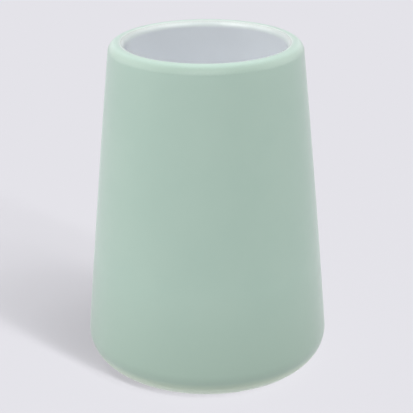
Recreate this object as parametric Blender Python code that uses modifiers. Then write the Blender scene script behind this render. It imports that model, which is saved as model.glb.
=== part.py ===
"""A free-standing tapered tumbler that holds toothbrushes.

A cast ceramic body carries a soft-touch coat outside, a white glaze inside and three pads below.
Metres, +Z up. The origin is on the surface that the tumbler stands on, at the centre of its foot.
"""

import math

import bmesh
import bpy
from mathutils import Vector

# Overall shape, over the coat
HEIGHT = 0.110
WIDEST_RADIUS = 0.0405
MOUTH_RADIUS = 0.0259
FOOT_ROUND = 0.0098
SIDE_ROUND = 5.3
RIM_OUTER_ROUND = 0.0033
RIM_INNER_ROUND = 0.0022

# Skins, and the gap between touching pieces
COAT_THICKNESS = 0.0004
GLAZE_THICKNESS = 0.0004
FIT_GAP = 0.0003

# How far round the rim and the foot the coat reaches
COAT_MOUTH_ANGLE = math.radians(22)
COAT_FOOT_ANGLE = math.radians(10)

# Ceramic floor, and the foot ring round the recess under it
FLOOR_THICKNESS = 0.0045
FLOOR_ROUND = 0.008
RECESS_DEPTH = 0.0015
FOOT_RING_WIDTH = 0.004
FOOT_RING_CHAMFER = 0.0003

# Pads in the recess
PAD_COUNT = 3
PAD_RADIUS = 0.004
PAD_MARGIN = 0.0015
PAD_STAND = 0.0004
PAD_EDGE_ROUND = 0.0003

# Fineness
TURN_STEPS = 48
FOOT_STEPS = 8
SIDE_STEPS = 4
RIM_STEPS = 5
COAT_EDGE_STEPS = 2
FLOOR_STEPS = 6
PAD_SIDES = 32
PAD_EDGE_STEPS = 2
ROUND_PROFILE_SHARE = 0.5
MERGE_DISTANCE = 1e-6
SHARP_ANGLE = math.radians(35)

# Colour and roughness of each material
BISCUIT_COLOUR, BISCUIT_ROUGHNESS = (0.80, 0.76, 0.68), 0.85
COAT_COLOUR, COAT_ROUGHNESS = (0.62, 0.78, 0.70), 0.60
GLAZE_COLOUR, GLAZE_ROUGHNESS = (0.86, 0.88, 0.90), 0.12
SILICONE_COLOUR, SILICONE_ROUGHNESS = (0.78, 0.80, 0.80), 0.35

# Directions that a surface faces, turned up from straight out
UP = math.pi / 2
DOWN = -math.pi / 2
INWARD = math.pi

# Sizes worked out from those above. The body is cut back all round for the thicker skin.
BODY_INSET = max(COAT_THICKNESS, GLAZE_THICKNESS) + FIT_GAP
CREST_RADIUS = MOUTH_RADIUS + RIM_INNER_ROUND
RECESS_TOP = PAD_STAND + RECESS_DEPTH
FLOOR_TOP = RECESS_TOP + FLOOR_THICKNESS + BODY_INSET
FOOT_CENTRE = Vector((WIDEST_RADIUS - FOOT_ROUND, PAD_STAND + FOOT_ROUND))
RIM_OUTER_CENTRE = Vector((CREST_RADIUS, HEIGHT - RIM_OUTER_ROUND))
RIM_INNER_CENTRE = Vector((CREST_RADIUS, HEIGHT - RIM_INNER_ROUND))


def direction(angle):
    """A unit step in the profile's plane, turned up from straight out."""
    return Vector((math.cos(angle), math.sin(angle)))


def arc(centre, radius, start, end, steps):
    """Points of a round, from the place that faces start to the place that faces end."""
    turns = [start + (end - start) * step / steps for step in range(steps + 1)]
    return [centre + radius * direction(turn) for turn in turns]


def find_side_centre():
    """Centre of the large round that the foot's round and the rim's outer round both touch from within."""
    to_foot = SIDE_ROUND - FOOT_ROUND
    to_rim = SIDE_ROUND - RIM_OUTER_ROUND
    span = RIM_OUTER_CENTRE - FOOT_CENTRE
    upward = span.normalized()
    outward = Vector((upward.y, -upward.x))
    rise = (to_foot**2 - to_rim**2 + span.length**2) / (2 * span.length)
    reach = math.sqrt(to_foot**2 - rise**2)
    return FOOT_CENTRE + rise * upward - reach * outward


def facing(step):
    """The direction of a step in the profile's plane, as an angle up from straight out."""
    return math.atan2(step.y, step.x)


SIDE_CENTRE = find_side_centre()
SIDE_FOOT_ANGLE = facing(FOOT_CENTRE - SIDE_CENTRE)
SIDE_RIM_ANGLE = facing(RIM_OUTER_CENTRE - SIDE_CENTRE)


def find_floor_centre():
    """Centre of the round between the straight inside wall and the inside floor."""
    wall_top = RIM_INNER_CENTRE - RIM_INNER_ROUND * direction(SIDE_RIM_ANGLE)
    down_wall = direction(SIDE_RIM_ANGLE - UP)
    into_cup = -direction(SIDE_RIM_ANGLE)
    start = wall_top + FLOOR_ROUND * into_cup
    drop = (FLOOR_TOP + FLOOR_ROUND - start.y) / down_wall.y
    return start + drop * down_wall


FLOOR_CENTRE = find_floor_centre()


def outside(inset, start):
    """The outer side, from the place on the foot's round that faces start up to the crest."""
    foot = arc(FOOT_CENTRE, FOOT_ROUND - inset, start, SIDE_FOOT_ANGLE, FOOT_STEPS)
    side = arc(SIDE_CENTRE, SIDE_ROUND - inset, SIDE_FOOT_ANGLE, SIDE_RIM_ANGLE, SIDE_STEPS)
    rim = arc(RIM_OUTER_CENTRE, RIM_OUTER_ROUND - inset, SIDE_RIM_ANGLE, UP, RIM_STEPS)
    return foot + side[1:] + rim[1:]


def mouth(inset, start, end, steps):
    """The rim's inner round, between the places that face start and end."""
    return arc(RIM_INNER_CENTRE, RIM_INNER_ROUND - inset, start, end, steps)


def inside(inset):
    """The inner side, from the foot of the straight wall round to the middle of the floor."""
    corner = arc(FLOOR_CENTRE, FLOOR_ROUND + inset, SIDE_RIM_ANGLE, DOWN, FLOOR_STEPS)
    middle = Vector((0, FLOOR_TOP - inset))
    return corner + [middle]


def coat_profile():
    """The coat: round the foot, up the side, over the crest and a little way into the mouth."""
    foot_edge = DOWN + COAT_FOOT_ANGLE
    mouth_edge = UP + COAT_MOUTH_ANGLE
    faces = []
    for inset in (0, COAT_THICKNESS):
        over_crest = mouth(inset, UP, mouth_edge, COAT_EDGE_STEPS)
        faces.append(outside(inset, foot_edge) + over_crest[1:])
    shown, hidden = faces
    return shown[::-1] + hidden


def glaze_profile():
    """The glaze: from the coat's edge in the mouth down the inside wall and across the floor."""
    start = UP + COAT_MOUTH_ANGLE + FIT_GAP / (RIM_INNER_ROUND - GLAZE_THICKNESS)
    end = INWARD + SIDE_RIM_ANGLE
    shown, hidden = [
        mouth(inset, start, end, RIM_STEPS) + inside(inset) for inset in (0, GLAZE_THICKNESS)
    ]
    return shown[::-1] + hidden


def foot_ring_radius():
    """Outer radius of the bare foot ring, a gap inside the coat's lower edge."""
    coat_edge = (FOOT_ROUND - COAT_THICKNESS) * math.sin(COAT_FOOT_ANGLE)
    return FOOT_CENTRE.x + coat_edge - FIT_GAP


def recess_radius():
    return foot_ring_radius() - FOOT_RING_WIDTH


def body_profile():
    """The ceramic: inside, rim, outside, then the foot ring and the recess under the floor."""
    ring = foot_ring_radius()
    recess = recess_radius()
    ring_top = DOWN + math.asin((ring - FOOT_CENTRE.x) / (FOOT_ROUND - BODY_INSET))
    rim = mouth(BODY_INSET, UP, INWARD + SIDE_RIM_ANGLE, RIM_STEPS)
    upper = outside(BODY_INSET, ring_top) + rim[1:] + inside(BODY_INSET)
    chamfer_top = PAD_STAND + FOOT_RING_CHAMFER
    underside = [
        Vector((ring, chamfer_top)),
        Vector((ring - FOOT_RING_CHAMFER, PAD_STAND)),
        Vector((recess + FOOT_RING_CHAMFER, PAD_STAND)),
        Vector((recess, chamfer_top)),
        Vector((recess, RECESS_TOP)),
        Vector((0, RECESS_TOP)),
    ]
    return upper[::-1] + underside


def clear_scene():
    for item in list(bpy.data.objects):
        bpy.data.objects.remove(item)


def make_material(name, colour, roughness):
    material = bpy.data.materials.new(name)
    material.use_nodes = True
    shader = material.node_tree.nodes["Principled BSDF"]
    shader.inputs["Base Color"].default_value = (*colour, 1)
    shader.inputs["Roughness"].default_value = roughness
    shader.inputs["Metallic"].default_value = 0
    return material


def add_piece(name, mesh, material, collection):
    piece = bpy.data.objects.new(name, mesh)
    collection.objects.link(piece)
    mesh.materials.clear()
    mesh.materials.append(material)
    return piece


def keep_evaluated(piece):
    """Replaces the piece's mesh by what its modifiers make of it, shaded smooth but for its corners."""
    material = piece.data.materials[0]
    bpy.context.view_layer.update()
    evaluated = piece.evaluated_get(bpy.context.evaluated_depsgraph_get())
    mesh = bpy.data.meshes.new_from_object(evaluated)
    mesh.name = piece.name
    mesh.materials.clear()
    mesh.materials.append(material)
    mesh.shade_smooth()
    mesh.set_sharp_from_angle(angle=SHARP_ANGLE)
    piece.modifiers.clear()
    piece.data = mesh


def turn_piece(name, profile, closed, material, collection):
    """A piece turned about Z from a profile of (radius, height) points that runs down its outer side."""
    edges = [(start, start + 1) for start in range(len(profile) - 1)]
    if closed:
        edges.append((len(profile) - 1, 0))
    mesh = bpy.data.meshes.new(name)
    mesh.from_pydata([(point.x, 0, point.y) for point in profile], edges, [])
    piece = add_piece(name, mesh, material, collection)
    screw = piece.modifiers.new("turn", "SCREW")
    screw.axis = "Z"
    screw.angle = math.tau
    screw.steps = TURN_STEPS
    screw.render_steps = TURN_STEPS
    screw.use_merge_vertices = True
    screw.merge_threshold = MERGE_DISTANCE
    keep_evaluated(piece)
    return piece


def make_pad_mesh():
    """A disc with rounded edges, its underside at the origin."""
    thickness = RECESS_TOP - FIT_GAP
    shape = bmesh.new()
    bmesh.ops.create_cone(
        shape,
        cap_ends=True,
        segments=PAD_SIDES,
        radius1=PAD_RADIUS,
        radius2=PAD_RADIUS,
        depth=thickness,
    )
    bmesh.ops.translate(shape, verts=shape.verts, vec=(0, 0, thickness / 2))
    rims = [edge for edge in shape.edges if edge.calc_face_angle() > SHARP_ANGLE]
    bmesh.ops.bevel(
        shape,
        geom=rims,
        offset=PAD_EDGE_ROUND,
        segments=PAD_EDGE_STEPS,
        profile=ROUND_PROFILE_SHARE,
        affect="EDGES",
    )
    mesh = bpy.data.meshes.new("base_pad")
    shape.to_mesh(mesh)
    shape.free()
    mesh.shade_smooth()
    mesh.set_sharp_from_angle(angle=SHARP_ANGLE)
    return mesh


def add_pads(material, collection):
    """Equal pads on a circle, a margin inside the recess's wall. The first lies towards -Y."""
    circle = recess_radius() - PAD_MARGIN - PAD_RADIUS
    mesh = make_pad_mesh()
    for index in range(PAD_COUNT):
        turn = DOWN + math.tau * index / PAD_COUNT
        pad = add_piece(f"base_pad_{index + 1}", mesh, material, collection)
        pad.location = (circle * math.cos(turn), circle * math.sin(turn), 0)
        pad.rotation_euler.z = turn


def main():
    clear_scene()
    collection = bpy.data.collections.new("toothbrush_tumbler")
    bpy.context.scene.collection.children.link(collection)
    biscuit = make_material("biscuit_ceramic", BISCUIT_COLOUR, BISCUIT_ROUGHNESS)
    coat = make_material("soft_touch_mint", COAT_COLOUR, COAT_ROUGHNESS)
    glaze = make_material("white_glaze", GLAZE_COLOUR, GLAZE_ROUGHNESS)
    silicone = make_material("clear_silicone", SILICONE_COLOUR, SILICONE_ROUGHNESS)
    turn_piece("ceramic_body", body_profile(), False, biscuit, collection)
    turn_piece("outer_soft_touch_coat", coat_profile(), True, coat, collection)
    turn_piece("inner_white_glaze", glaze_profile(), False, glaze, collection)
    add_pads(silicone, collection)


main()
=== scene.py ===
"""Looks of a tapered tumbler that holds toothbrushes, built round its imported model.

Metres, +Z up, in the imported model's frame: the tumbler stands on Z 0 and its mouth opens upwards.
Colours are sRGB values from 0 to 255, as a picture shows them.
"""

import math

import bmesh
import bpy
from mathutils import Matrix, Vector, noise


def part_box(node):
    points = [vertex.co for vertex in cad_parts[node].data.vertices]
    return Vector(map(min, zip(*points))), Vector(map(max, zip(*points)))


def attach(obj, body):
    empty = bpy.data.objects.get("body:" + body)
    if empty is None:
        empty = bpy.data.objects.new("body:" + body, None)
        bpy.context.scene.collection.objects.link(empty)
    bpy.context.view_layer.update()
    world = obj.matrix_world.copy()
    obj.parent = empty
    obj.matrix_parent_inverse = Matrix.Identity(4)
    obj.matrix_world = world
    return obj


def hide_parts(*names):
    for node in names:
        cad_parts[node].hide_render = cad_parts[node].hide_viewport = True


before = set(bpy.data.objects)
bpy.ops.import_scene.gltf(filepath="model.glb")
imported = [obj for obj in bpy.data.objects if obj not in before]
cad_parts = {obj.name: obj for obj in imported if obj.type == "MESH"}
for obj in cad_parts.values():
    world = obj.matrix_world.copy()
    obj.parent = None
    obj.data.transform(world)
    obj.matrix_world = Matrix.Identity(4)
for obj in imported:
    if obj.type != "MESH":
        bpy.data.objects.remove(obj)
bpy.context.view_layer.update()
COAT_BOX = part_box("outer_soft_touch_coat")
PAD_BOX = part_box("base_pad_1")

# Overall shape over the coat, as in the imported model
HEIGHT = COAT_BOX[1].z
WIDEST_RADIUS = COAT_BOX[1].x
MOUTH_RADIUS = 0.0259
FOOT_ROUND = 0.0098
SIDE_ROUND = 5.3
RIM_OUTER_ROUND = 0.0033
RIM_INNER_ROUND = 0.0022

# Skins. The coat is sprayed over the glaze and thins out to a film at its edge in the mouth.
COAT_THICKNESS = 0.0004
GLAZE_THICKNESS = 0.0004
EDGE_FILM = 0.00004
COAT_MOUTH_ANGLE = math.radians(22)
COAT_FOOT_ANGLE = math.radians(10)
EDGE_FADE_ANGLE = math.radians(9)
EDGE_WAVER_ANGLE = math.radians(2.5)
EDGE_WAVER_TURNS = 5

# Ceramic floor, and the ground foot ring round the recess under it
PAD_STAND = 0.0004
RECESS_DEPTH = 0.0015
FLOOR_THICKNESS = 0.0045
FLOOR_ROUND = 0.008
FOOT_RING_WIDTH = 0.004
FOOT_RING_ROUND = 0.0003

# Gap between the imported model's touching pieces, which the height of its inside floor includes
FIT_GAP = 0.0003

# Pads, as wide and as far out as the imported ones
PAD_RADIUS = (PAD_BOX[1].x - PAD_BOX[0].x) / 2
PAD_CIRCLE = -PAD_BOX[0].y - PAD_RADIUS
PAD_TOP = PAD_BOX[1].z
PAD_EDGE_ROUND = 0.0003
PAD_COUNT = 3
ROUND_PROFILE_SHARE = 0.5

# Fineness
TURN_STEPS = 288
FOOT_STEPS = 28
SIDE_STEPS = 24
RIM_STEPS = 18
EDGE_STEPS = 10
FLOOR_STEPS = 20
INSIDE_STEPS = 16
BASE_STEPS = 10
RING_STEPS = 4
PAD_SIDES = 72
PAD_EDGE_STEPS = 5
MERGE_DISTANCE = 1e-7
SHARP_ANGLE = math.radians(35)

# Patterns of soft random spots. Each has the spots' size and the number of its finer layers, and its
# values mostly lie between SPOTS_LOW and SPOTS_HIGH.
SPOTS_LOW = 0.35
SPOTS_HIGH = 0.65
COAT_CLOUDS = (0.02, 3)
COAT_SPECKLE = (0.0005, 2)
COAT_GLOSS_SPOTS = (0.003, 4)
COAT_PEEL = (0.0012, 2)
GLAZE_CLOUDS = (0.015, 2)
GLAZE_SPECKLE = (0.0005, 2)
GLAZE_GLOSS_SPOTS = (0.004, 3)
GLAZE_WAVES = (0.006, 1)
BISCUIT_GRAIN = (0.0004, 5)
SILICONE_CLOUDS = (0.0015, 3)
SILICONE_FROST = (0.0002, 2)

# Strength of each finer layer, as a share of the one before it
FINER_SHARE = 0.5
BISCUIT_FINER_SHARE = 0.7

# Depths of the patterns that are raised from a surface
COAT_PEEL_DEPTH = 0.000012
COAT_GRAIN_DEPTH = 0.000006
GLAZE_WAVE_DEPTH = 0.00004
BISCUIT_GRAIN_DEPTH = 0.00003
SILICONE_FROST_DEPTH = 0.000005

# Roughness, where a pattern is low and where it is high
COAT_ROUGHNESS = (0.45, 0.55)
GLAZE_ROUGHNESS = (0.1, 0.18)
BISCUIT_ROUGHNESS = (0.95, 0.8)
SILICONE_ROUGHNESS = (0.3, 0.45)

# Soft-touch coat. Painted shade makes it a little deeper in colour in a band on the rim's outer round
# and towards the foot, and painted bounce light from the floor makes it paler at its edge under the
# foot. It thins out to a paler tone at its edge in the mouth. Angles are those past the rim's crest,
# and the speckle moves the tones' edges on the rim by up to the waver, in radians.
MINT = (201, 228, 214)
MINT_CLOUD = (198, 226, 212)
MINT_PAINTED_SHADE = (189, 215, 200)
MINT_MOUTH_EDGE = (220, 232, 227)
MINT_PAINTED_FLOOR_LIGHT = (216, 238, 214)
RIM_PAINTED_SHADE_FROM = (math.radians(-105), math.radians(-82))
RIM_PAINTED_SHADE_TO = (math.radians(-66), math.radians(-38))
MOUTH_EDGE_ANGLES = (math.radians(-5), math.radians(25))
RIM_TONE_WAVER = 0.05
FOOT_PAINTED_SHADE_HEIGHTS = (0.012, 0.038)
FOOT_PAINTED_LIGHT_HEIGHTS = (0.005, 0.0078)

# Glaze. A mist of mint lies on it below the coat's edge, deepest close under that edge. The rises
# are over the centre of the rim's inner round, and the speckle moves them by up to the waver.
GLAZE = (245, 249, 253)
GLAZE_CLOUD = (243, 247, 251)
GLAZE_MIST = (226, 235, 233)
GLAZE_MIST_RISES = (-0.0002, 0.0008)
GLAZE_UNDER_COAT = (206, 214, 210)
GLAZE_UNDER_COAT_RISES = (0.0013, 0.0019)
GLAZE_MIST_WAVER = 0.0001

# Bare ceramic and pads
BISCUIT = (226, 220, 206)
BISCUIT_DARK = (208, 200, 184)
SILICONE = (214, 217, 216)
SILICONE_CLOUDY = (200, 204, 203)

# Places of a Mix node's sockets for colours: the share and the two colours, and then the result. It
# has more sockets of the same names for other kinds of data.
MIX_INPUTS = (0, 6, 7)
MIX_OUTPUT = 2

# Camera, found from the photograph's outline. The sensor is in millimetres.
IMAGE_PIXELS = 413
FOCAL_PIXELS = 1297.7
SENSOR_WIDTH = 36
CAMERA_PLACE = Vector((-0.0001, -0.4033, 0.2139))
CAMERA_DOWN_ANGLE = math.radians(21.75)
CAMERA_ROLL_ANGLE = math.radians(-0.33)
CLIP_START = 0.01
CLIP_END = 20

# Floor and background. The floor glows in the background's colour, and its faint matt surface, in a
# share of that colour, takes the shadow.
FLOOR_HALF_WIDTH = 6
FLOOR_MATT_SHARE = 0.1
BACKGROUND = (228, 227, 233)

# Studio light on the tumbler, with lamps of their own for its lining. A lamp has an azimuth, from 0
# on the camera's side to 90 on the side of +X, an elevation and a width, all in degrees, and its
# strength, where 1 alone shows a colour as written on what faces it.
OBJECT_LAMPS = {
    "front": (0, 35, 60, 0.43),
    "front_left": (-45, 10, 60, 0.145),
    "front_right": (45, 10, 60, 0.045),
    "left": (-90, 35, 60, 0.205),
    "left_low": (-90, 10, 60, 0.17),
    "right": (90, 35, 60, 0.205),
    "right_low": (90, 10, 60, 0.15),
    "back_left": (-135, 10, 60, 0.155),
    "back_right": (135, 10, 60, 0.135),
    "back": (180, 60, 60, 0.22),
    "top": (0, 90, 30, 0.04),
    "under": (180, -60, 50, 0.4),
    "below": (0, -90, 60, 0.25),
}
LINING_LAMPS = {
    "into_mouth_left": (-45, 45, 40, 0.385),
    "into_mouth_right": (45, 45, 40, 0.305),
    "into_mouth_far_left": (-90, 50, 60, 0.31),
    "into_mouth_far_right": (90, 50, 60, 0.28),
    "into_mouth_back": (180, 60, 60, 0.24),
}

# Upright strips of lamps that only throw the shadow on the floor. A strip has an azimuth, the
# elevations of its lowest and its highest lamp, and the share of the floor's light that it takes
# away where it is blocked. Its lamps' step and width are in degrees too. The whole tumbler blocks
# the low one. The lining alone blocks the steep ones, so that they leave the floor in front of the
# foot bright, as the photograph has it.
SHADOW_STRIPS = {
    "shadow_low": (44, 14, 54, 0.072),
}
STEEP_SHADOW_STRIPS = {
    "shadow_high": (52, 42, 58, 0.059),
    "shadow_higher": (56, 54, 66, 0.096),
    "shadow_steep": (60, 70, 82, 0.141),
}
STRIP_STEP = 4
STRIP_WIDTH = 5

# Directions that a surface faces, turned up from straight out
UP = math.pi / 2
DOWN = -math.pi / 2
INWARD = math.pi

# Sizes worked out from those above
CREST_RADIUS = MOUTH_RADIUS + RIM_INNER_ROUND
RECESS_TOP = PAD_STAND + RECESS_DEPTH
FLOOR_TOP = RECESS_TOP + FLOOR_THICKNESS + GLAZE_THICKNESS + FIT_GAP
FOOT_CENTRE = Vector((WIDEST_RADIUS - FOOT_ROUND, PAD_STAND + FOOT_ROUND))
RIM_OUTER_CENTRE = Vector((CREST_RADIUS, HEIGHT - RIM_OUTER_ROUND))
RIM_INNER_CENTRE = Vector((CREST_RADIUS, HEIGHT - RIM_INNER_ROUND))
GLAZE_MIST_HEIGHTS = [RIM_INNER_CENTRE.y + rise for rise in GLAZE_MIST_RISES]
GLAZE_UNDER_COAT_HEIGHTS = [RIM_INNER_CENTRE.y + rise for rise in GLAZE_UNDER_COAT_RISES]


def direction(angle):
    """A unit step in the profile's plane, turned up from straight out."""
    return Vector((math.cos(angle), math.sin(angle)))


def facing(step):
    """The direction of a step in the profile's plane, as an angle up from straight out."""
    return math.atan2(step.y, step.x)


def arc(centre, radius, start, end, steps):
    """Points of a round, from the place that faces start to the place that faces end."""
    turns = [start + (end - start) * step / steps for step in range(steps + 1)]
    return [centre + radius * direction(turn) for turn in turns]


def straight(start, end, steps):
    """Points between two others, without the first and the last."""
    return [start.lerp(end, step / steps) for step in range(1, steps)]


def find_side_centre():
    """Centre of the large round that the foot's round and the rim's outer round both touch from within."""
    to_foot = SIDE_ROUND - FOOT_ROUND
    to_rim = SIDE_ROUND - RIM_OUTER_ROUND
    span = RIM_OUTER_CENTRE - FOOT_CENTRE
    upward = span.normalized()
    outward = Vector((upward.y, -upward.x))
    rise = (to_foot**2 - to_rim**2 + span.length**2) / (2 * span.length)
    reach = math.sqrt(to_foot**2 - rise**2)
    return FOOT_CENTRE + rise * upward - reach * outward


SIDE_CENTRE = find_side_centre()
SIDE_FOOT_ANGLE = facing(FOOT_CENTRE - SIDE_CENTRE)
SIDE_RIM_ANGLE = facing(RIM_OUTER_CENTRE - SIDE_CENTRE)


def find_floor_centre():
    """Centre of the round between the straight inside wall and the inside floor."""
    wall_top = RIM_INNER_CENTRE - RIM_INNER_ROUND * direction(SIDE_RIM_ANGLE)
    down_wall = direction(SIDE_RIM_ANGLE - UP)
    into_cup = -direction(SIDE_RIM_ANGLE)
    start = wall_top + FLOOR_ROUND * into_cup
    drop = (FLOOR_TOP + FLOOR_ROUND - start.y) / down_wall.y
    return start + drop * down_wall


FLOOR_CENTRE = find_floor_centre()


def outside(inset, start):
    """The outer side, from the place on the foot's round that faces start up to the crest."""
    foot = arc(FOOT_CENTRE, FOOT_ROUND - inset, start, SIDE_FOOT_ANGLE, FOOT_STEPS)
    side = arc(SIDE_CENTRE, SIDE_ROUND - inset, SIDE_FOOT_ANGLE, SIDE_RIM_ANGLE, SIDE_STEPS)
    rim = arc(RIM_OUTER_CENTRE, RIM_OUTER_ROUND - inset, SIDE_RIM_ANGLE, UP, RIM_STEPS)
    return foot + side[1:] + rim[1:]


def mouth(inset, start, end, steps):
    """The rim's inner round, between the places that face start and end."""
    return arc(RIM_INNER_CENTRE, RIM_INNER_ROUND - inset, start, end, steps)


def inside(wall_top, inset):
    """The inner side, from below the top of the straight wall down to the middle of the floor."""
    corner = arc(FLOOR_CENTRE, FLOOR_ROUND + inset, SIDE_RIM_ANGLE, DOWN, FLOOR_STEPS)
    middle = Vector((0, FLOOR_TOP - inset))
    wall = straight(wall_top, corner[0], INSIDE_STEPS)
    base = straight(corner[-1], middle, BASE_STEPS)
    return wall + corner + base + [middle]


def coat_edge(turn):
    """How far past the crest the coat reaches into the mouth. The sprayed line wavers a little."""
    spot = EDGE_WAVER_TURNS * Vector((math.cos(turn), math.sin(turn), 0))
    return COAT_MOUTH_ANGLE + EDGE_WAVER_ANGLE * noise.noise(spot)


def coat_profile(turn):
    """The coat: round the foot, up the side and over the crest, where it thins out to a film."""
    edge = coat_edge(turn)
    foot_edge = DOWN + COAT_FOOT_ANGLE
    full = mouth(0, UP, UP + edge - EDGE_FADE_ANGLE, EDGE_STEPS)
    fade = []
    for step in range(1, EDGE_STEPS + 1):
        share = step / EDGE_STEPS
        angle = UP + edge - EDGE_FADE_ANGLE * (1 - share)
        fade.append(RIM_INNER_CENTRE + (RIM_INNER_ROUND - EDGE_FILM * share**2) * direction(angle))
    shown = outside(0, foot_edge) + full[1:] + fade
    hidden = outside(COAT_THICKNESS, foot_edge) + mouth(COAT_THICKNESS, UP, UP + edge, EDGE_STEPS)[1:]
    return shown[::-1] + hidden


def glaze_profile(turn):
    """The glaze: from under the coat's edge in the mouth down the inside wall and across the floor."""
    start = UP + coat_edge(turn)
    end = INWARD + SIDE_RIM_ANGLE
    sides = []
    for inset in (EDGE_FILM, GLAZE_THICKNESS):
        lip = mouth(inset, start, end, RIM_STEPS)
        sides.append(lip + inside(lip[-1], inset))
    shown, hidden = sides
    return shown[::-1] + hidden


def foot_ring_radius():
    """Outer radius of the bare foot ring, where the coat stops."""
    return FOOT_CENTRE.x + (FOOT_ROUND - COAT_THICKNESS) * math.sin(COAT_FOOT_ANGLE)


def foot_ring_profile():
    """The foot ring and the recess under the floor, from the ring's outer side to the axis."""
    outer = foot_ring_radius() - FOOT_RING_ROUND
    inner = foot_ring_radius() - FOOT_RING_WIDTH + FOOT_RING_ROUND
    height = PAD_STAND + FOOT_RING_ROUND
    corner = Vector((inner - FOOT_RING_ROUND, RECESS_TOP))
    middle = Vector((0, RECESS_TOP))
    return [
        *arc(Vector((outer, height)), FOOT_RING_ROUND, 0, DOWN, RING_STEPS),
        *arc(Vector((inner, height)), FOOT_RING_ROUND, DOWN, -INWARD, RING_STEPS),
        corner,
        *straight(corner, middle, BASE_STEPS),
        middle,
    ]


def body_profile(turn):
    """The ceramic, which both skins lie on: inside, rim, outside, foot ring and recess.

    It is the same at every turn.
    """
    ring_share = (foot_ring_radius() - FOOT_CENTRE.x) / (FOOT_ROUND - COAT_THICKNESS)
    ring_top = DOWN + math.asin(ring_share)
    rim = mouth(COAT_THICKNESS, UP, INWARD + SIDE_RIM_ANGLE, RIM_STEPS)
    upper = outside(COAT_THICKNESS, ring_top) + rim[1:] + inside(rim[-1], GLAZE_THICKNESS)
    return upper[::-1] + foot_ring_profile()


def turned_mesh(name, profile_at, closed):
    """A mesh through the profiles at all turns. A profile that isn't closed ends on the axis."""
    shape = bmesh.new()
    columns = []
    for step in range(TURN_STEPS):
        turn = math.tau * step / TURN_STEPS
        points = profile_at(turn)
        places = [(point.x * math.cos(turn), point.x * math.sin(turn), point.y) for point in points]
        columns.append([shape.verts.new(place) for place in places])
    count = len(columns[0])
    for step, column in enumerate(columns):
        after = columns[(step + 1) % TURN_STEPS]
        for row in range(count if closed else count - 1):
            below = (row + 1) % count
            shape.faces.new((column[row], column[below], after[below], after[row]))
    bmesh.ops.remove_doubles(shape, verts=shape.verts, dist=MERGE_DISTANCE)
    bmesh.ops.recalc_face_normals(shape, faces=shape.faces)
    return finished_mesh(name, shape)


def pad_mesh(name, centre):
    """A disc with rounded edges that stands on Z 0."""
    shape = bmesh.new()
    bmesh.ops.create_cone(
        shape,
        cap_ends=True,
        segments=PAD_SIDES,
        radius1=PAD_RADIUS,
        radius2=PAD_RADIUS,
        depth=PAD_TOP,
    )
    rims = [edge for edge in shape.edges if edge.calc_face_angle() > SHARP_ANGLE]
    bmesh.ops.bevel(
        shape,
        geom=rims,
        offset=PAD_EDGE_ROUND,
        segments=PAD_EDGE_STEPS,
        profile=ROUND_PROFILE_SHARE,
        affect="EDGES",
    )
    bmesh.ops.translate(shape, verts=shape.verts, vec=(centre.x, centre.y, PAD_TOP / 2))
    return finished_mesh(name, shape)


def finished_mesh(name, shape):
    """A shape's mesh, shaded smooth except across sharp edges."""
    mesh = bpy.data.meshes.new(name)
    shape.to_mesh(mesh)
    shape.free()
    mesh.shade_smooth()
    mesh.set_sharp_from_angle(angle=SHARP_ANGLE)
    return mesh


def add_piece(name, mesh, material, node):
    """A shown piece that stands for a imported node."""
    piece = bpy.data.objects.new(name, mesh)
    bpy.context.scene.collection.objects.link(piece)
    mesh.materials.append(material)
    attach(piece, "root")
    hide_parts(node)
    return piece


def linear_share(share):
    """One channel of an sRGB colour as a linear one, by the sRGB standard's own formula."""
    if share <= 0.04045:
        return share / 12.92
    return ((share + 0.055) / 1.055) ** 2.4


def linear(colour):
    """An sRGB colour from 0 to 255 as the linear one that a shader takes."""
    return (*[linear_share(value / 255) for value in colour], 1)


def add_node(tree, kind, inputs=None, **settings):
    """A node with its settings and inputs. An input is a value, or another node's output."""
    node = tree.nodes.new(kind)
    for name, value in settings.items():
        setattr(node, name, value)
    for name, value in (inputs or {}).items():
        if isinstance(value, bpy.types.NodeSocket):
            tree.links.new(value, node.inputs[name])
        else:
            node.inputs[name].default_value = value
    return node


def new_material(name, **values):
    """A material, its node tree and its shader, with uniform values set on the shader itself."""
    material = bpy.data.materials.new(name)
    material.use_nodes = True
    shader = material.node_tree.nodes["Principled BSDF"]
    for socket, value in values.items():
        shader.inputs[socket.replace("_", " ")].default_value = value
    return material, material.node_tree, shader


def place(tree):
    """The spot on the surface, in metres from the foot's centre."""
    return add_node(tree, "ShaderNodeTexCoord").outputs["Object"]


def spots(tree, size, layers, finer_share=FINER_SHARE):
    """Soft random spots of about a size, as a value around a half."""
    return add_node(
        tree,
        "ShaderNodeTexNoise",
        {"Vector": place(tree), "Scale": 1 / size, "Detail": layers, "Roughness": finer_share},
    ).outputs["Fac"]


def math_node(tree, operation, *values):
    """The result of an operation, such as ADD, on values or other nodes' outputs."""
    node = add_node(tree, "ShaderNodeMath", dict(enumerate(values)), operation=operation)
    return node.outputs["Value"]


def spread(tree, value, low, high, start=SPOTS_LOW, end=SPOTS_HIGH):
    """Stretches a value from start..end to low..high, and stops there."""
    return add_node(
        tree,
        "ShaderNodeMapRange",
        {"Value": value, "From Min": start, "From Max": end, "To Min": low, "To Max": high},
    ).outputs["Result"]


def mix(tree, share, first, second):
    """A mix of two colours. A colour is sRGB, or another node's output."""
    colours = [linear(item) if isinstance(item, tuple) else item for item in (first, second)]
    inputs = dict(zip(MIX_INPUTS, (share, *colours)))
    return add_node(tree, "ShaderNodeMix", inputs, data_type="RGBA").outputs[MIX_OUTPUT]


def bump(tree, height, depth, normal=None):
    """Raises the surface by height, from 0 to 1, times depth in metres."""
    inputs = {"Height": height, "Distance": depth}
    if normal:
        inputs["Normal"] = normal
    return add_node(tree, "ShaderNodeBump", inputs).outputs["Normal"]


def height_over_foot(tree):
    """How high a spot lies over the surface that the tumbler stands on."""
    return add_node(tree, "ShaderNodeSeparateXYZ", {"Vector": place(tree)}).outputs["Z"]


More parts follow.
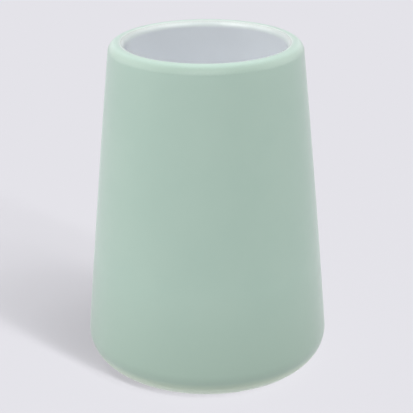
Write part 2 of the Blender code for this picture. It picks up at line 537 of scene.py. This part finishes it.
def past_crest(tree):
    """How far past the rim's crest a spot lies, as an angle into the mouth."""
    x, y, z = add_node(tree, "ShaderNodeSeparateXYZ", {"Vector": place(tree)}).outputs
    squares = [math_node(tree, "MULTIPLY", side, side) for side in (x, y)]
    radius = math_node(tree, "SQRT", math_node(tree, "ADD", *squares))
    inward = math_node(tree, "SUBTRACT", CREST_RADIUS, radius)
    upward = math_node(tree, "SUBTRACT", z, RIM_INNER_CENTRE.y)
    return math_node(tree, "ARCTAN2", inward, upward)


def soft_touch_mint():
    """Satin soft-touch lacquer: slightly cloudy mint, with a fine sprayed texture."""
    material, tree, shader = new_material(
        "soft_touch_mint",
        Sheen_Weight=0.2,
        Sheen_Roughness=0.3,
        Coat_Weight=0.65,
        Coat_Roughness=0.25,
        Coat_IOR=1.5,
        IOR=1.45,
    )
    clouds = mix(tree, spread(tree, spots(tree, *COAT_CLOUDS), 0, 1), MINT_CLOUD, MINT)
    speckle = spots(tree, *COAT_SPECKLE)
    waver = spread(tree, speckle, -RIM_TONE_WAVER, RIM_TONE_WAVER)
    angle = math_node(tree, "ADD", past_crest(tree), waver)
    height = height_over_foot(tree)
    # Painted shade: the coat is darker towards the foot.
    colour = mix(tree, spread(tree, height, 1, 0, *FOOT_PAINTED_SHADE_HEIGHTS), clouds, MINT_PAINTED_SHADE)
    # Painted bounce light from the floor: paler at the foot's bottom edge.
    colour = mix(tree, spread(tree, height, 1, 0, *FOOT_PAINTED_LIGHT_HEIGHTS), colour, MINT_PAINTED_FLOOR_LIGHT)
    # Painted shade in a band on the rim's outer round, below the crest.
    colour = mix(tree, spread(tree, angle, 0, 1, *RIM_PAINTED_SHADE_FROM), colour, MINT_PAINTED_SHADE)
    colour = mix(tree, spread(tree, angle, 0, 1, *RIM_PAINTED_SHADE_TO), colour, clouds)
    colour = mix(tree, spread(tree, angle, 0, 1, *MOUTH_EDGE_ANGLES), colour, MINT_MOUTH_EDGE)
    tree.links.new(colour, shader.inputs["Base Color"])
    roughness = spread(tree, spots(tree, *COAT_GLOSS_SPOTS), *COAT_ROUGHNESS)
    tree.links.new(roughness, shader.inputs["Roughness"])
    peel = bump(tree, spots(tree, *COAT_PEEL), COAT_PEEL_DEPTH)
    grain = bump(tree, speckle, COAT_GRAIN_DEPTH, peel)
    tree.links.new(grain, shader.inputs["Normal"])
    return material


def white_glaze():
    """Glossy white glaze, a little uneven, with a mist of mint below the coat's edge."""
    material, tree, shader = new_material("white_glaze", IOR=1.5)
    clouds = mix(tree, spread(tree, spots(tree, *GLAZE_CLOUDS), 0, 1), GLAZE_CLOUD, GLAZE)
    speckle = spots(tree, *GLAZE_SPECKLE)
    waver = spread(tree, speckle, -GLAZE_MIST_WAVER, GLAZE_MIST_WAVER)
    height = math_node(tree, "ADD", height_over_foot(tree), waver)
    colour = mix(tree, spread(tree, height, 0, 1, *GLAZE_MIST_HEIGHTS), clouds, GLAZE_MIST)
    under_coat = spread(tree, height, 0, 1, *GLAZE_UNDER_COAT_HEIGHTS)
    colour = mix(tree, under_coat, colour, GLAZE_UNDER_COAT)
    tree.links.new(colour, shader.inputs["Base Color"])
    roughness = spread(tree, spots(tree, *GLAZE_GLOSS_SPOTS), *GLAZE_ROUGHNESS)
    tree.links.new(roughness, shader.inputs["Roughness"])
    waves = bump(tree, spots(tree, *GLAZE_WAVES), GLAZE_WAVE_DEPTH)
    tree.links.new(waves, shader.inputs["Normal"])
    return material


def biscuit_ceramic():
    """Unglazed cast ceramic: chalky and warm, with a fine grain."""
    material, tree, shader = new_material("biscuit_ceramic", IOR=1.45)
    grain = spots(tree, *BISCUIT_GRAIN, BISCUIT_FINER_SHARE)
    colour = mix(tree, spread(tree, grain, 0, 1), BISCUIT_DARK, BISCUIT)
    tree.links.new(colour, shader.inputs["Base Color"])
    tree.links.new(spread(tree, grain, *BISCUIT_ROUGHNESS), shader.inputs["Roughness"])
    tree.links.new(bump(tree, grain, BISCUIT_GRAIN_DEPTH), shader.inputs["Normal"])
    return material


def clear_silicone():
    """Slightly frosted clear silicone."""
    material, tree, shader = new_material("clear_silicone", IOR=1.41, Transmission_Weight=0.5)
    cloud = spots(tree, *SILICONE_CLOUDS)
    colour = mix(tree, spread(tree, cloud, 0, 1), SILICONE_CLOUDY, SILICONE)
    tree.links.new(colour, shader.inputs["Base Color"])
    tree.links.new(spread(tree, cloud, *SILICONE_ROUGHNESS), shader.inputs["Roughness"])
    frost = bump(tree, spots(tree, *SILICONE_FROST), SILICONE_FROST_DEPTH)
    tree.links.new(frost, shader.inputs["Normal"])
    return material


def add_pieces():
    """The tumbler's own pieces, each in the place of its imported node."""
    coat = soft_touch_mint()
    glaze = white_glaze()
    biscuit = biscuit_ceramic()
    silicone = clear_silicone()
    turned = (
        ("cast_body", body_profile, False, biscuit, "ceramic_body"),
        ("soft_touch_coat", coat_profile, True, coat, "outer_soft_touch_coat"),
        ("white_glaze_lining", glaze_profile, False, glaze, "inner_white_glaze"),
    )
    pieces = {}
    for name, profile_at, closed, material, node in turned:
        mesh = turned_mesh(name, profile_at, closed)
        pieces[node] = add_piece(name, mesh, material, node)
    for index in range(PAD_COUNT):
        turn = DOWN + math.tau * index / PAD_COUNT
        name = f"silicone_pad_{index + 1}"
        node = f"base_pad_{index + 1}"
        mesh = pad_mesh(name, PAD_CIRCLE * direction(turn))
        pieces[node] = add_piece(name, mesh, silicone, node)
    return pieces


def seen_directly(tree):
    """1 for what the camera sees, also in gloss and through glass, and 0 for light on other things."""
    path = add_node(tree, "ShaderNodeLightPath").outputs
    seen = math_node(tree, "MAXIMUM", path["Is Camera Ray"], path["Is Glossy Ray"])
    return math_node(tree, "MAXIMUM", seen, path["Is Transmission Ray"])


def add_floor():
    """A plain floor that glows for the camera and takes the tumbler's shadow. It lights nothing."""
    shape = bmesh.new()
    bmesh.ops.create_grid(shape, x_segments=1, y_segments=1, size=FLOOR_HALF_WIDTH)
    mesh = bpy.data.meshes.new("floor")
    shape.to_mesh(mesh)
    shape.free()
    floor = bpy.data.objects.new("floor", mesh)
    bpy.context.scene.collection.objects.link(floor)
    background = linear(BACKGROUND)
    matt = tuple(value * FLOOR_MATT_SHARE for value in background)
    material, tree, shader = new_material(
        "floor", Base_Color=matt, Emission_Color=background, Roughness=1, Specular_IOR_Level=0
    )
    shares = [strip[-1] for strip in (*SHADOW_STRIPS.values(), *STEEP_SHADOW_STRIPS.values())]
    glow = spread(tree, seen_directly(tree), 0, 1 - sum(shares), 0, 1)
    tree.links.new(glow, shader.inputs["Emission Strength"])
    mesh.materials.append(material)
    floor.visible_diffuse = False
    floor.visible_shadow = False
    return floor


def add_world():
    """The plain background, which the camera and the gloss see. It lights nothing."""
    world = bpy.data.worlds.new("studio")
    bpy.context.scene.world = world
    world.use_nodes = True
    tree = world.node_tree
    background = tree.nodes["Background"]
    background.inputs["Color"].default_value = linear(BACKGROUND)
    tree.links.new(seen_directly(tree), background.inputs["Strength"])


def new_group(name, items):
    """A group for light linking, which isn't part of the scene itself."""
    group = bpy.data.collections.new(name)
    for item in items:
        group.objects.link(item)
    return group


def add_lamp(name, azimuth, elevation, width, strength, lit):
    """A distant soft lamp that lights only one group.

    It joins that group too, because a lamp whose group is left empty lights everything.
    """
    turn = math.radians(azimuth)
    rise = math.radians(elevation)
    flat_share = math.cos(rise)
    towards = Vector((flat_share * math.sin(turn), -flat_share * math.cos(turn), math.sin(rise)))
    data = bpy.data.lights.new(name, "SUN")
    data.energy = math.pi * strength
    data.angle = math.radians(width)
    lamp = bpy.data.objects.new(name, data)
    lamp.rotation_euler = towards.to_track_quat("Z", "Y").to_euler()
    bpy.context.scene.collection.objects.link(lamp)
    lit.objects.link(lamp)
    lamp.light_linking.receiver_collection = lit
    return lamp


def add_shadow(name, azimuth, lowest, highest, share, lit, blockers):
    """A strip of lamps that only light the floor, and that only one group keeps off it."""
    elevations = range(lowest, highest + 1, STRIP_STEP)
    for elevation in elevations:
        strength = share / len(elevations) / FLOOR_MATT_SHARE / math.sin(math.radians(elevation))
        lamp = add_lamp(f"{name}_{elevation}", azimuth, elevation, STRIP_WIDTH, strength, lit)
        lamp.light_linking.blocker_collection = blockers


def add_lamps(pieces, floor):
    """Lamps for the tumbler, and others that only throw its shadow on the floor."""
    lining = pieces["inner_white_glaze"]
    others = [piece for piece in pieces.values() if piece != lining]
    lit_outside = new_group("lit_outside", others)
    lit_lining = new_group("lit_lining", [lining])
    lit_floor = new_group("lit_floor", [floor])
    whole_tumbler = new_group("whole_tumbler", pieces.values())
    lining_alone = new_group("lining_alone", [lining])
    for name, lamp in OBJECT_LAMPS.items():
        add_lamp(name, *lamp, lit_outside)
    for name, lamp in LINING_LAMPS.items():
        add_lamp(name, *lamp, lit_lining)
    for name, strip in SHADOW_STRIPS.items():
        add_shadow(name, *strip, lit_floor, whole_tumbler)
    for name, strip in STEEP_SHADOW_STRIPS.items():
        add_shadow(name, *strip, lit_floor, lining_alone)


def add_camera():
    """The photograph's camera: it looks down at the tumbler, and leans a little."""
    forward = Vector((0, math.cos(CAMERA_DOWN_ANGLE), -math.sin(CAMERA_DOWN_ANGLE)))
    upward = Vector((0, math.sin(CAMERA_DOWN_ANGLE), math.cos(CAMERA_DOWN_ANGLE)))
    rightward = forward.cross(upward)
    lean_share = math.sin(CAMERA_ROLL_ANGLE)
    level_share = math.cos(CAMERA_ROLL_ANGLE)
    leaned_right = level_share * rightward + lean_share * upward
    leaned_up = level_share * upward - lean_share * rightward
    turned = Matrix((leaned_right, leaned_up, -forward)).transposed().to_4x4()
    data = bpy.data.cameras.new("camera")
    data.sensor_width = SENSOR_WIDTH
    data.lens = FOCAL_PIXELS / IMAGE_PIXELS * SENSOR_WIDTH
    data.clip_start = CLIP_START
    data.clip_end = CLIP_END
    camera = bpy.data.objects.new("camera", data)
    camera.matrix_world = Matrix.Translation(CAMERA_PLACE) @ turned
    bpy.context.scene.collection.objects.link(camera)
    bpy.context.scene.camera = camera


add_world()
add_lamps(add_pieces(), add_floor())
add_camera()
bpy.context.scene.view_settings.view_transform = "Standard"
